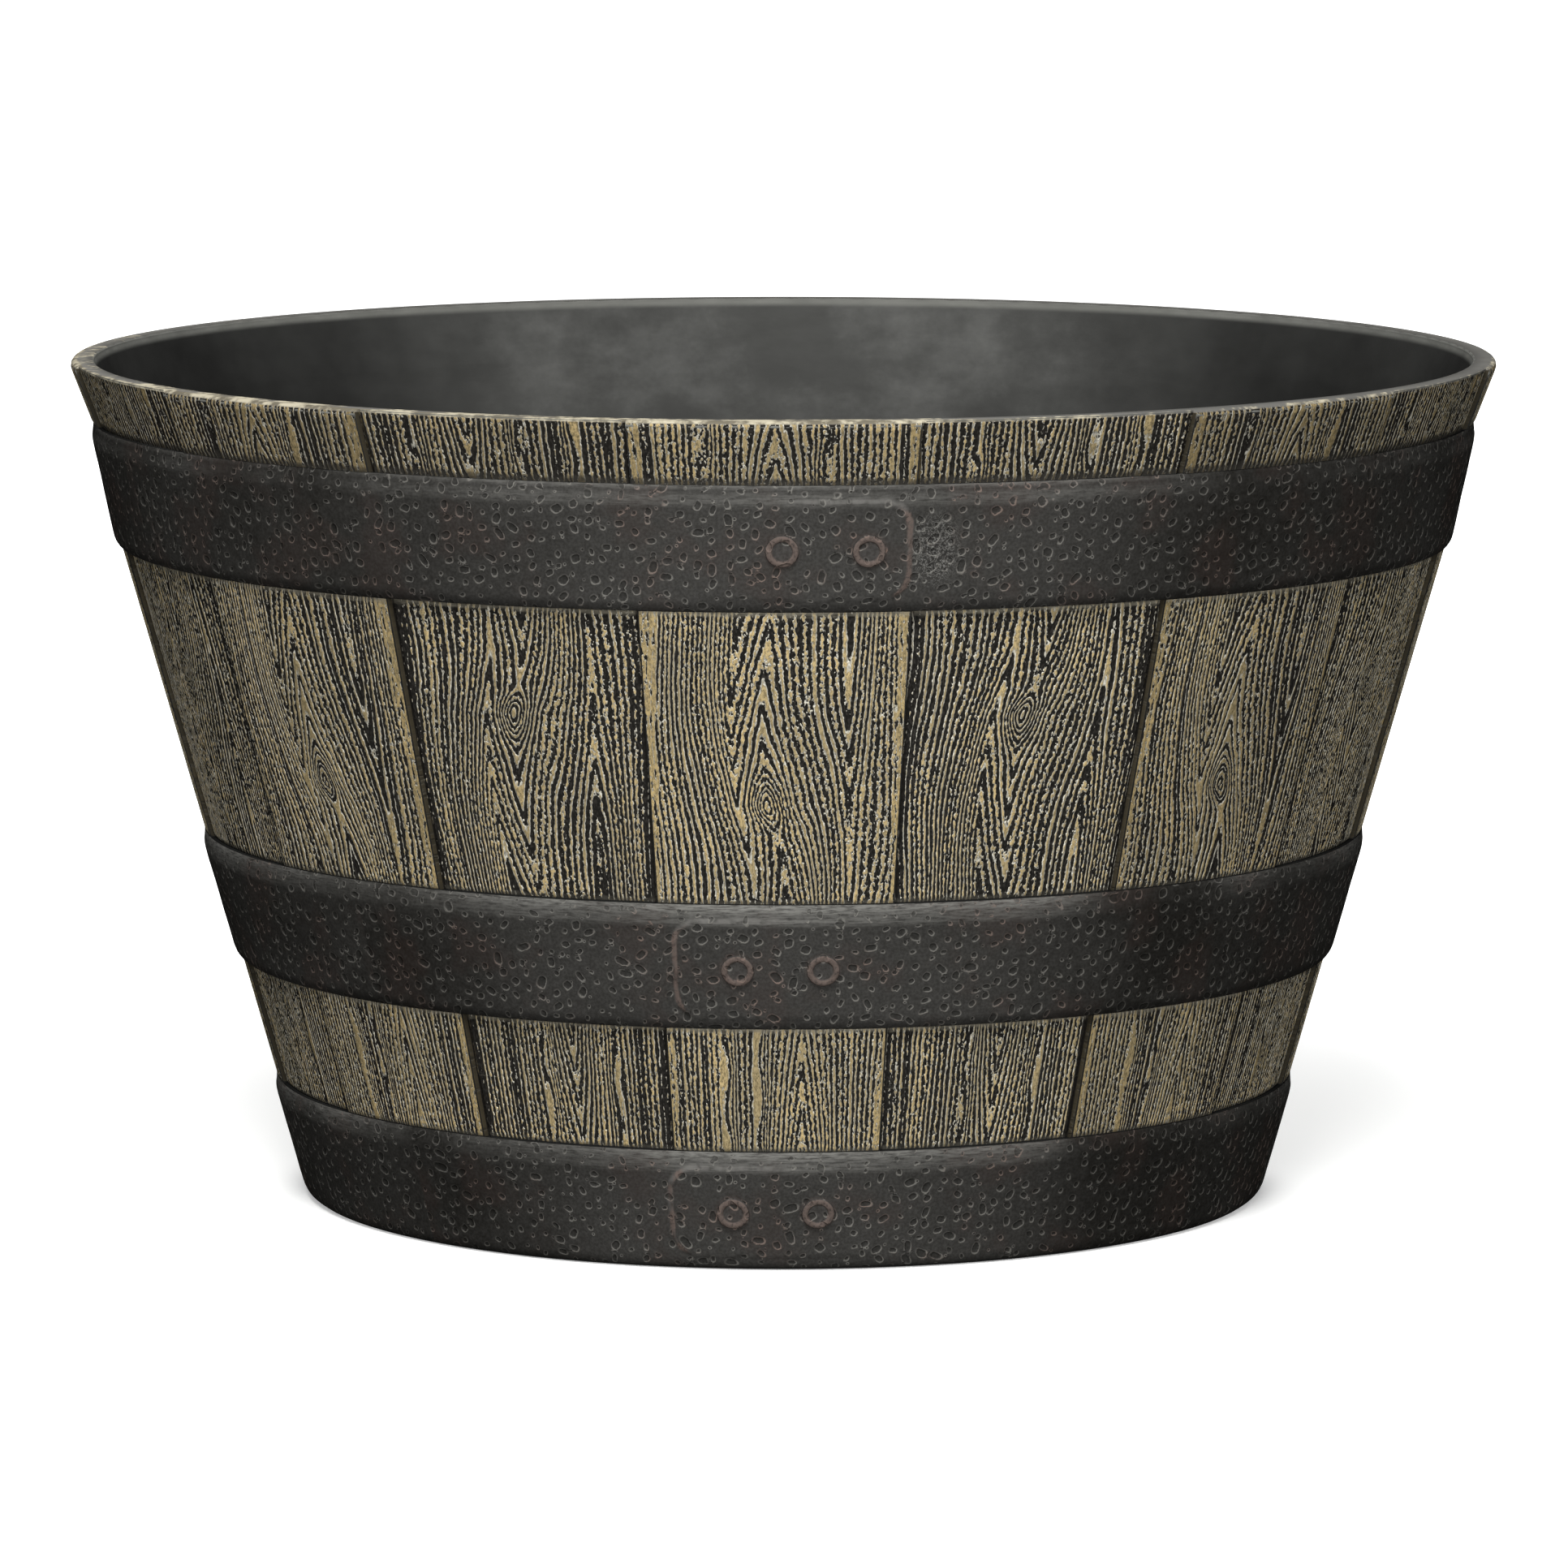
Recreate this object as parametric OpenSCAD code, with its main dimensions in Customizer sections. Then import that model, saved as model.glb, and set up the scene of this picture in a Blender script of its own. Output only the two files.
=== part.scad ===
// Round barrel-style planter, moulded in plastic, with three lapped and riveted hoops.
// Millimetres, +Z up, origin on the ground at the centre of the foot.
// The front of the tub is -Y. Angles run from the front towards +X.

/* [Tub] */
// Outside diameter of the rim
rim_d = 520.7; // [460:0.1:620]
// Outside diameter of the stave wall at the ground
foot_d = 348.6; // [300:0.1:420]
// Height of the tub
tub_h = 308; // [270:0.1:400]
// Height of the flared lip above the upper hoop
lip_h = 22.5; // [15:0.5:35]
// Lean of the flared lip from the vertical, in degrees
lip_lean = 21; // [15:0.1:26]
// Lean of the wall behind the upper hoop, in degrees
band_lean = 12; // [8:0.5:15]
// Width of the flat top of the rim
rim_w = 8.4; // [7:0.1:12]
// Thickness of the side wall
wall_t = 7.5; // [6:0.1:10]
// Radius of the rounded outer corner of the rim
rim_round = 2; // [1:0.1:3]

/* [Staves] */
// Number of staves, alternately proud and recessed
stave_count = 16; // [12:2:20]
// How far the recessed staves lie behind the proud ones
stave_step = 1.7; // [0.8:0.1:2.5]
// Angle of the seam to the right of the front stave, in degrees
seam_start = 10.5; // [4:0.1:11]
// Width of the groove along each seam
groove_w = 2.2; // [1:0.1:3]
// Depth of the groove below the recessed stave
groove_d = 0.9; // [0.4:0.1:1.5]

/* [Floor and foot] */
// Height of the hollow under the floor
foot_h = 8; // [5:0.5:14]
// Width of the foot ring on the ground
foot_w = 14; // [10:0.5:20]
// Thickness of the floor
floor_t = 6; // [5:0.5:9]
// Radius where the wall meets the floor
floor_round = 14; // [8:1:24]

/* [Hoops] */
// Thickness of a hoop
hoop_t = 2.1; // [1.6:0.1:3]
// Width of the upper hoop
upper_hoop_h = 45.5; // [35:0.1:55]
// Height of the lower edge of the middle hoop above the ground
middle_hoop_z = 89.8; // [70:0.1:110]
// Width of the middle hoop
middle_hoop_h = 47.2; // [36:0.1:56]
// Width of the lower hoop
lower_hoop_h = 44.6; // [34:0.1:56]
// Height of the lower hoop above the ground
lower_hoop_z = 0.9; // [0.8:0.1:3]
// Height of the rounding of the lower outer edge of a hoop
round_h = 4.5; // [2:0.1:8]
// Depth of that rounding
round_d = 1.9; // [1:0.1:2]
// Height of the bevel along the upper edge of a hoop
bevel_h = 7; // [3:0.1:10]
// How far that bevel falls back
bevel_d = 1.7; // [0.6:0.1:1.9]
// Clearance between a hoop and the wall
hoop_gap = 0.1; // [0.05:0.05:0.3]

/* [Lapped ends] */
// Length of the lap
lap_l = 72; // [60:1:90]
// Thickness of the lapping end
lap_t = 0.9; // [0.6:0.1:1.5]
// Thickness left where the lap runs out
lap_thin = 0.25; // [0.15:0.05:0.4]
// Distance from the hoop's edges to the lapping end
lap_inset = 5; // [3:0.5:7]
// Corner radius of the lapping end
lap_round = 9; // [4:0.5:12]
// Angle of the upper hoop's lapping end, in degrees
upper_lap_at = 10; // [0:0.1:20]
// Angle of the middle hoop's lapping end, in degrees
middle_lap_at = -10.5; // [-20:0.1:0]
// Angle of the lower hoop's lapping end, in degrees
lower_lap_at = -12.5; // [-20:0.1:0]

/* [Rivets] */
// Diameter of a rivet head
head_d = 11.4; // [8:0.1:13]
// Height of a rivet head
head_h = 1.3; // [0.9:0.1:2]
// Width of the raised ring round a rivet head
head_ring_w = 2.2; // [1.5:0.1:3]
// Depth of the dished middle of a rivet head
head_dish = 0.6; // [0.2:0.1:0.7]
// Diameter of a rivet shank
shank_d = 5; // [3:0.1:6]
// Clearance round a rivet shank
shank_gap = 0.05; // [0.02:0.01:0.1]
// Distance between the two rivets of a lap
rivet_pitch = 29.4; // [20:0.1:34]
// Distance from the upper hoop's lapping end to its first rivet
upper_rivet_in = 14.2; // [10:0.1:20]
// Distance from the other lapping ends to their first rivets
rivet_in = 22; // [12:0.1:24]

/* [Drain plugs] */
// Diameter of a drain hole
drain_d = 18; // [10:0.5:24]
// Radius of the circle that the drain holes lie on
drain_ring_r = 105; // [60:1:120]
// Clearance round a plug's stem
plug_gap = 0.06; // [0.02:0.01:0.1]
// Width of the plug's flange outside its stem
flange_w = 5; // [3:0.5:8]
// Thickness of the plug's flange
flange_t = 2.5; // [1.5:0.1:4]
// Depth of the seat that the flange lies in
seat_d = 1; // [0.5:0.1:1.4]
// Clearance round the flange in its seat
seat_gap = 0.4; // [0.2:0.1:1]
// Length of the stem below the floor
stem_past = 2; // [1:0.5:4]
// Height of the pull tab
tab_h = 9; // [6:0.5:14]
// Width of the pull tab
tab_w = 12; // [8:0.5:14]
// Thickness of the pull tab
tab_t = 3; // [2:0.5:4]

/* [Hidden] */
$fn = 96;

// Small clearance where an end face or a head lies on another piece
seat = 0.1;
// How far a seam's groove reaches into the proud stave, and under the hoops at its ends
bite = 0.3;
under = 1;
// Corners in the curve where a hoop's face turns into its bevel
bevel_steps = 4;
// How far a cutting shape reaches past the face that it opens
past = 2;

rim_r = rim_d / 2;
foot_r = foot_d / 2;
floor_z = foot_h + floor_t;

// The lip's foot overhangs the bevelled edge of the upper hoop by a hair
lip_z = tub_h - lip_h;
lip_r = rim_r - (lip_h - rim_round) * tan(lip_lean);
shoulder = hoop_gap + hoop_t - bevel_d + seat;
// The wall bends at the lower edge of the upper hoop
knee_z = lip_z - upper_hoop_h * cos(band_lean);
knee_r = lip_r - shoulder - (lip_z - knee_z) * tan(band_lean);
wall_lean = atan((knee_r - foot_r) / knee_z);
// Thickness of the wall measured level
wall_x = wall_t / cos(wall_lean);

// Outside radius of the wall at a height, under the hoops as between them
function wall_r(z) = z < knee_z
  ? foot_r + z * tan(wall_lean)
  : knee_r + (z - knee_z) * tan(band_lean);

// Angle of a seam
function seam_at(i) = seam_start + i * 360 / stave_count;

// Points on an arc about a centre, or on a quarter ellipse where two radii are given
function arc(centre, rx, ry, from, to, steps = 6) = [
  for (i = [0 : steps])
    let (a = from + (to - from) * i / steps)
    [centre[0] + rx * cos(a), centre[1] + ry * sin(a)]
];

// Turns a shape drawn on the +X side to an angle from the front
module around(angle) {
  rotate([0, 0, angle - 90])
    children();
}

// Stands a shape on the wall: its Z along the outward normal, its Y along the hoop
module on_wall(angle, z, lean) {
  around(angle)
    translate([wall_r(z), 0, z])
      rotate([0, 90 + lean, 0])
        children();
}

// The tub

// Half section of the tub: up the outside, over the rim, down the inside, under the floor
module tub_section() {
  inner_foot_r = wall_r(floor_z + floor_round) - wall_x;
  polygon(concat(
    [[foot_r, 0], [knee_r, knee_z], [lip_r - shoulder, lip_z], [lip_r, lip_z]],
    arc([rim_r - rim_round, tub_h - rim_round], rim_round, rim_round, 0, 90),
    arc([rim_r - rim_w + 1, tub_h - 1], 1, 1, 90, 180, 3),
    [[lip_r - rim_w, lip_z], [knee_r - wall_x, knee_z]],
    arc([inner_foot_r - floor_round, floor_z + floor_round], floor_round, floor_round, 0, -90),
    [[0, floor_z], [0, foot_h]],
    arc([foot_r - foot_w - foot_h / 2, foot_h / 2], foot_h / 2, foot_h / 2, 90, 0, 4),
    [[foot_r - foot_w, 0]]
  ));
}

// Takes one recessed stave back between two heights where the wall is straight
module stave_recess(i, z0, r0, z1, r1) {
  around(seam_at(i))
    rotate_extrude(angle = seam_at(i + 1) - seam_at(i))
      polygon([
        [r0 - stave_step, z0], [r1 - stave_step, z1],
        [r1 + past, z1], [r0 + past, z0],
      ]);
}

// Cuts the groove along one seam, on the side of its recessed stave
module seam_groove(i, z0, r0, z1, r1) {
  side = i % 2 == 0 ? 1 : -1;
  depth = stave_step + groove_d;
  around(seam_at(i))
    translate([r0, 0, z0])
      rotate([0, atan((r1 - r0) / (z1 - z0)), 0])
        translate([0, 0, -under])
          linear_extrude(norm([r1 - r0, z1 - z0]) + 2 * under)
            polygon([
              [past, -side * bite], [-depth, -side * bite],
              [-depth, side * groove_w / 3], [past - depth, side * groove_w],
            ]);
}

// Recesses and grooves of all staves in one band of the wall
module stave_band(z0, r0, z1, r1) {
  for (i = [0 : 2 : stave_count - 1])
    stave_recess(i, z0, r0, z1, r1);
  for (i = [0 : stave_count - 1])
    seam_groove(i, z0, r0, z1, r1);
}

// Places a shape at each drain hole
module at_drain(i) {
  rotate([0, 0, 45 + 90 * i])
    translate([drain_ring_r, 0, 0])
      children();
}

module tub() {
  lower_top = lower_hoop_z + lower_hoop_h * cos(wall_lean);
  middle_top = middle_hoop_z + middle_hoop_h * cos(wall_lean);
  lip_top_r = lip_r + lip_h * tan(lip_lean);
  color("#8a7650")
    difference() {
      rotate_extrude()
        tub_section();
      stave_band(lower_top, wall_r(lower_top), middle_hoop_z, wall_r(middle_hoop_z));
      stave_band(middle_top, wall_r(middle_top), knee_z, knee_r);
      stave_band(lip_z, lip_r, tub_h + past, lip_top_r + past * tan(lip_lean));
      for (i = [0 : 3])
        at_drain(i) {
          cylinder(h = floor_z + past, d = drain_d);
          translate([0, 0, floor_z - seat_d])
            cylinder(h = seat_d + past, d = drain_d + 2 * (flange_w + seat_gap));
        }
    }
}

// Hoops

// Section of a hoop lying on the wall: X out from the wall, Y up along it
// Its bevel is curved over the first half of its height, then straight with the slope reached there
module hoop_section(h) {
  face = hoop_gap + hoop_t;
  polygon(concat(
    [[hoop_gap, 0]],
    arc([face - round_d, round_h], round_d, round_h, -90, 0),
    [for (t = [0 : 1 / bevel_steps : 1]) [face - bevel_d * t * t / 3, h - bevel_h * (1 - t / 2)]],
    [[face - bevel_d, h], [hoop_gap, h]]
  ));
}

// Angle that a length along the hoop covers
function along(l, z) = l / wall_r(z) * 180 / PI;
// Middle angle of a lap whose end is at an angle, towards a side
function lap_mid(at, z, side) = at - side * along(lap_l, z) / 2;
// How far the lapping end's circle is shifted, so that it climbs from thin to thick
function lap_shift(z) = (lap_t - lap_thin) / 2 / sin(along(lap_l, z) / 2);
// Height of the lapping end's face above the wall at an angle
function lap_face(angle, at, z, side, lean) =
  hoop_gap + hoop_t + (lap_t + lap_thin) / 2
  + side * lap_shift(z) * sin(angle - lap_mid(at, z, side)) * cos(lean);

// Plan of the lapping end laid flat: square where it runs out, rounded where it ends
module lap_plan(h, side) {
  w = h - 2 * lap_inset;
  end = side * lap_l / 2;
  r = lap_round;
  translate([-w / 2, min(-end, end - side * r)])
    square([w, lap_l - r]);
  translate([-w / 2 + r, min(-end, end)])
    square([w - 2 * r, lap_l]);
  for (x = [-1, 1])
    translate([x * (w / 2 - r), end - side * r])
      circle(r);
}

// One hoop: a conical band with its lapping end climbing over it
module hoop(z0, h, lean, lap_at, side, rivet_at) {
  mid_z = z0 + h / 2 * cos(lean);
  mid = lap_mid(lap_at, mid_z, side);
  color("#3a3836")
    difference() {
      union() {
        rotate_extrude()
          translate([wall_r(z0), z0])
            rotate(-lean)
              hoop_section(h);
        intersection() {
          around(mid)
            translate([0, side * lap_shift(mid_z), 0])
              rotate_extrude()
                translate([wall_r(z0), z0])
                  rotate(-lean)
                    translate([hoop_gap + hoop_t / 2, 0])
                      square([(hoop_t + lap_t + lap_thin) / 2, h]);
          on_wall(mid, mid_z, lean)
            linear_extrude(hoop_t + 2 * lap_t + past, center = true)
              lap_plan(h, side);
        }
      }
      for (n = [0, 1])
        on_wall(lap_at - side * along(rivet_at + n * rivet_pitch, mid_z), mid_z, lean)
          translate([0, 0, -past])
            cylinder(h = hoop_t + lap_t + 3 * past, d = shank_d + 2 * shank_gap);
    }
}

// Section of a rivet from its shank's end to its ringed head
module rivet_section(grip) {
  ring_x = head_ring_w / 2;
  polygon(concat(
    [[0, -grip], [shank_d / 2, -grip], [shank_d / 2, 0], [head_d / 2, 0]],
    arc([head_d / 2 - ring_x, head_h / 2], ring_x, head_h / 2, 0, 90, 5),
    arc([head_d / 2 - ring_x, head_h - head_dish], ring_x, head_dish, 90, 180, 5),
    [[0, head_h - head_dish]]
  ));
}

// Rivet n of a lap, counted from the lapping end
module rivet(n, z0, h, lean, lap_at, side, rivet_at) {
  mid_z = z0 + h / 2 * cos(lean);
  angle = lap_at - side * along(rivet_at + n * rivet_pitch, mid_z);
  face = lap_face(angle, lap_at, mid_z, side, lean);
  color("#5c463c")
    on_wall(angle, mid_z, lean)
      translate([0, 0, face + seat / 4])
        rotate_extrude()
          rivet_section(face - hoop_gap);
}

module upper_rivet(n) {
  rivet(n, knee_z, upper_hoop_h, band_lean, upper_lap_at, 1, upper_rivet_in);
}

module middle_rivet(n) {
  rivet(n, middle_hoop_z, middle_hoop_h, wall_lean, middle_lap_at, -1, rivet_in);
}

module lower_rivet(n) {
  rivet(n, lower_hoop_z, lower_hoop_h, wall_lean, lower_lap_at, -1, rivet_in);
}

module upper_hoop() {
  hoop(knee_z, upper_hoop_h, band_lean, upper_lap_at, 1, upper_rivet_in);
}

module middle_hoop() {
  hoop(middle_hoop_z, middle_hoop_h, wall_lean, middle_lap_at, -1, rivet_in);
}

module lower_hoop() {
  hoop(lower_hoop_z, lower_hoop_h, wall_lean, lower_lap_at, -1, rivet_in);
}

// Drain plugs

// Rubber plug: a stem in the drain hole, a flange in the seat and a tab to pull
module drain_plug(i) {
  stem_r = drain_d / 2 - plug_gap;
  flange_r = drain_d / 2 + flange_w;
  stem_l = floor_t - seat_d + stem_past;
  color("#2b2b2b")
    at_drain(i)
      translate([0, 0, floor_z - seat_d]) {
        rotate_extrude()
          polygon(concat(
            [[0, -stem_l], [stem_r - 1, -stem_l], [stem_r, 1 - stem_l], [stem_r, 0], [flange_r, 0]],
            arc([flange_r - 1, flange_t - 1], 1, 1, 0, 90, 4),
            [[0, flange_t]]
          ));
        translate([0, tab_t / 2, flange_t - 0.5])
          rotate([90, 0, 0])
            linear_extrude(tab_t) {
              translate([-tab_w / 2, 0])
                square([tab_w, tab_h + 0.5 - tab_w / 2]);
              translate([0, tab_h + 0.5 - tab_w / 2])
                circle(d = tab_w);
            }
      }
}

tub();
upper_hoop();
middle_hoop();
lower_hoop();
upper_rivet(1);  // upper_rivet_left
upper_rivet(0);  // upper_rivet_right
middle_rivet(0);  // middle_rivet_left
middle_rivet(1);  // middle_rivet_right
lower_rivet(0);  // lower_rivet_left
lower_rivet(1);  // lower_rivet_right
drain_plug(2);  // front_left_plug
drain_plug(3);  // front_right_plug
drain_plug(1);  // rear_left_plug
drain_plug(0);  // rear_right_plug
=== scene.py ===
"""Looks of the round barrel-style planter.

Grained stave skins lie over the tub's wall. Hammered hoops and rubbed rivets stand for the plain
ones of the CAD model. The inside is smooth. Everything is worked out in millimetres in the CAD
model's frame and put into meshes in metres. Angles run from the front (-Y) towards +X.
"""
import bpy
import numpy as np
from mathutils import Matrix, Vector


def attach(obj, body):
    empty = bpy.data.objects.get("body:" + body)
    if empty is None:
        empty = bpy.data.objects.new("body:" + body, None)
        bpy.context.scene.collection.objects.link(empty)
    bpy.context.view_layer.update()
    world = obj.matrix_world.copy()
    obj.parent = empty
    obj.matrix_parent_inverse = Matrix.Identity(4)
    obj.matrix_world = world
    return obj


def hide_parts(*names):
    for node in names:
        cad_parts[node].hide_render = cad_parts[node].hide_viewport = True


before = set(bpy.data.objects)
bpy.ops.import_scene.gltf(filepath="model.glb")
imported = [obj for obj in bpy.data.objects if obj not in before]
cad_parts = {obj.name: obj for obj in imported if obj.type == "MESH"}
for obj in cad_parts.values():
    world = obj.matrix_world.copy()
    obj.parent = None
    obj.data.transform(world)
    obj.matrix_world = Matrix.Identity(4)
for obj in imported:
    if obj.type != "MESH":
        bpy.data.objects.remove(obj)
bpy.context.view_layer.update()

# ------------------------------------------------- sizes in mm, as in the CAD source

RIM_R = 520.7 / 2
FOOT_R = 348.6 / 2
TUB_H, LIP_H, RIM_W, RIM_ROUND, INNER_ROUND = 308.0, 22.5, 8.4, 2.0, 1.0
LIP_LEAN, BAND_LEAN = np.radians(21), np.radians(12)
STAVES, STEP, GROOVE_D, SEAM_START = 16, 1.7, 0.9, 10.5
STAVE_DEG = 360 / STAVES
HOOP_GAP, HOOP_T, BEVEL_D, BEVEL_H, ROUND_H, ROUND_D = 0.1, 2.1, 1.7, 7.0, 4.5, 1.9
UPPER_H, MIDDLE_Z, MIDDLE_H, LOWER_Z, LOWER_H = 45.5, 89.8, 47.2, 0.9, 44.6
WALL_T, FLOOR_TOP, FLOOR_ROUND = 7.5, 14.0, 14.0

# The lapping plate: length, thickness where it leaves the band and at its end, corners, side margin
LAP_L, LAP_THIN, LAP_THICK, PLATE_CORNER, PLATE_MARGIN = 72.0, 0.25, 0.9, 9.0, 5.0

# Rivets: distance between the two, radii of the head, its ring and its shank, height of the dish
RIVET_GAP, HEAD_R, RING_R, SHANK_R, DISH_H = 29.4, 5.7, 1.1, 2.5, 0.7

LIP_Z = TUB_H - LIP_H
LIP_R = RIM_R - (LIP_H - RIM_ROUND) * np.tan(LIP_LEAN)
SHOULDER = HOOP_GAP + HOOP_T - BEVEL_D + 0.1
KNEE_Z = LIP_Z - UPPER_H * np.cos(BAND_LEAN)
KNEE_R = LIP_R - SHOULDER - (LIP_Z - KNEE_Z) * np.tan(BAND_LEAN)
WALL_LEAN = np.arctan((KNEE_R - FOOT_R) / KNEE_Z)
WALL_X = WALL_T / np.cos(WALL_LEAN)
LOWER_TOP = LOWER_Z + LOWER_H * np.cos(WALL_LEAN)
MIDDLE_TOP = MIDDLE_Z + MIDDLE_H * np.cos(WALL_LEAN)
CORNER_Z = TUB_H - RIM_ROUND
HOOP_FACE = HOOP_GAP + HOOP_T

# ------------------------------------------------- sizes in mm that only the looks have

GRAIN_DEPTH, PIT_DEPTH, WAVE_DEPTH, SCRAPE_DEPTH = 0.24, 0.30, 0.10, 0.16
PIT_ROW, PIT_COLUMN, PIT_POWER = 5.25, 10.7, 2.6
LINER_GAP = 0.35
FIGURE_FROM, FIGURE_TO = 100.0, 260.0
SIDES = ("front", "right", "back", "left")


def wall_r(z):
    """Outside radius of the proud staves: a straight line from the foot to the knee, a steeper one
    behind the upper hoop."""
    low, high = FOOT_R + z * np.tan(WALL_LEAN), KNEE_R + (z - KNEE_Z) * np.tan(BAND_LEAN)
    return np.where(z < KNEE_Z, low, high)


# ------------------------------------------------- numpy helpers


def value_noise(x, y, seed):
    """Smooth noise between -1 and 1: random numbers on a unit lattice, joined by cubic steps."""
    table = np.random.default_rng(seed).uniform(-1, 1, (64, 64))
    xi, yi = np.floor(x).astype(int), np.floor(y).astype(int)
    fx, fy = x - xi, y - yi
    fx, fy = fx * fx * (3 - 2 * fx), fy * fy * (3 - 2 * fy)
    low = table[xi % 64, yi % 64] * (1 - fx) + table[(xi + 1) % 64, yi % 64] * fx
    high = table[xi % 64, (yi + 1) % 64] * (1 - fx) + table[(xi + 1) % 64, (yi + 1) % 64] * fx
    return low * (1 - fy) + high * fy


def smooth(x, low, high):
    """Cubic step from 0 at low to 1 at high."""
    t = np.clip((x - low) / (high - low), 0, 1)
    return t * t * (3 - 2 * t)


def soft_ramp(x, r):
    """0 for x well below zero and x well above it, joined by a hyperbola of size r."""
    return (x + np.sqrt(x * x + r * r)) / 2


def turned(angle, r, z):
    """Points at angles in degrees from the front, radii and heights, all in mm."""
    a = np.radians(angle)
    return np.stack(np.broadcast_arrays(r * np.sin(a), -r * np.cos(a), z), -1)


def grid_faces(rows, columns, first=0, around=False):
    """Quads of a grid of rows x columns points, numbered from first.

    Seen from outside, rows go up and columns to the right. With around, the last column joins the
    first.
    """
    i = np.arange(rows - 1)[:, None] * columns
    j = np.arange(columns if around else columns - 1)[None, :]
    k = (j + 1) % columns
    quads = np.stack(np.broadcast_arrays(i + j, i + k, i + columns + k, i + columns + j), -1)
    return quads.reshape(-1, 4) + first


def held(values, shape):
    """Values given per row, held along each row."""
    return np.broadcast_to(np.asarray(values)[:, None], shape)


def carried(field, extra):
    """The field with its last row replaced by extra rows like it."""
    return np.concatenate([field[:-1], np.broadcast_to(field[-1], (extra, field.shape[1]))])


def joined(parts):
    """The same-named arrays of several stretches, flattened and put one after the other."""
    return {key: np.concatenate([np.ravel(part[key]) for part in parts]) for key in parts[0]}


def by_angle(angle, knots, values):
    """Values between knots at angles from the front, for any angle."""
    return np.interp((angle + 180) % 360 - 180, knots, values)


def mesh_piece(name, points, faces, finish, layers=None, charts=None, body="tub", own=None):
    """A piece from points in mm, quads, float layers on its points, and UV maps given per point.

    Points from the number `own` on are the first ones again, so that a section closes on itself.
    """
    mesh = bpy.data.meshes.new(name)
    points = np.asarray(points, float).reshape(-1, 3)[:own] / 1000
    faces = np.asarray(faces, np.int32)
    mesh.vertices.add(len(points))
    mesh.vertices.foreach_set("co", points.astype(np.float32).ravel())
    mesh.loops.add(faces.size)
    mesh.loops.foreach_set("vertex_index", faces.ravel() % len(points))
    mesh.polygons.add(len(faces))
    mesh.polygons.foreach_set("loop_start", np.arange(len(faces), dtype=np.int32) * 4)
    mesh.update(calc_edges=True)
    mesh.polygons.foreach_set("use_smooth", np.ones(len(faces), bool))
    for layer, values in (layers or {}).items():
        field = mesh.attributes.new(layer, "FLOAT", "POINT")
        field.data.foreach_set("value", np.asarray(values, np.float32).ravel()[:own])
    for chart, uv in (charts or {}).items():
        table = np.asarray(uv, np.float32).reshape(-1, 2)[faces.ravel()]
        mesh.uv_layers.new(name=chart).data.foreach_set("uv", table.ravel())
    mesh.validate()
    mesh.materials.append(finish)
    piece = bpy.data.objects.new(name, mesh)
    bpy.context.scene.collection.objects.link(piece)
    if body:
        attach(piece, body)
    return piece


# ------------------------------------------------- shader helpers


def paint(r, g, b):
    """A linear colour from the 0 to 255 values that a picture shows."""
    c = np.array([r, g, b]) / 255
    c = np.where(c <= 0.04045, c / 12.92, ((c + 0.055) / 1.055) ** 2.4)
    return (float(c[0]), float(c[1]), float(c[2]), 1.0)


class Wire:
    """A value inside a node tree; arithmetic on it adds Math nodes."""

    def __init__(self, nodes, socket):
        self.nodes, self.socket = nodes, socket

    def math(self, operation, *values):
        return self.nodes.node("Math", {"operation": operation}, dict(enumerate(values)))

    def __add__(self, other):
        return self.math("ADD", self, other)

    def __sub__(self, other):
        return self.math("SUBTRACT", self, other)

    def __rsub__(self, other):
        return self.math("SUBTRACT", other, self)

    def __mul__(self, other):
        return self.math("MULTIPLY", self, other)

    def __truediv__(self, other):
        return self.math("DIVIDE", self, other)

    def __abs__(self):
        return self.math("ABSOLUTE", self)

    __radd__, __rmul__ = __add__, __mul__

    def floor(self):
        return self.math("FLOOR", self)

    def larger(self, other):
        return self.math("MAXIMUM", self, other)

    def smaller(self, other):
        return self.math("MINIMUM", self, other)

    def step(self, low, high, start=0.0, end=1.0):
        """Cubic step from start at low to end at high."""
        inputs = {0: self, 1: low, 2: high, 3: start, 4: end}
        return self.nodes.node("MapRange", {"interpolation_type": "SMOOTHSTEP"}, inputs)

    def line(self, low, high, start=0.0, end=1.0):
        """Straight ramp from start at low to end at high, held outside."""
        return self.nodes.node("MapRange", {}, {0: self, 1: low, 2: high, 3: start, 4: end})


class Nodes:
    """The node tree of a material or world; calls add nodes to it."""

    def __init__(self, owner):
        owner.use_nodes = True
        self.tree = owner.node_tree
        self.tree.nodes.clear()

    def feed(self, socket, value):
        """Links a wire to a socket, or sets the socket's own value."""
        if isinstance(value, Wire):
            self.tree.links.new(value.socket, socket)
        else:
            socket.default_value = value

    def node(self, kind, settings=None, inputs=None, output=0):
        """Adds a node: its type, its settings, the values or wires of its sockets, and the output
        that is wanted, None for a node that has none."""
        made = self.tree.nodes.new("ShaderNode" + kind)
        for key, value in (settings or {}).items():
            setattr(made, key, value)
        for key, value in (inputs or {}).items():
            self.feed(made.inputs[key], value)
        return None if output is None else Wire(self, made.outputs[output])

    def seen(self):
        """1 on camera, glossy and transmission rays, 0 on those that only carry light."""
        kinds = ("Camera", "Glossy", "Transmission")
        camera, glossy, through = (self.node("LightPath", output="Is %s Ray" % k) for k in kinds)
        return camera.larger(glossy).larger(through)


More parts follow.
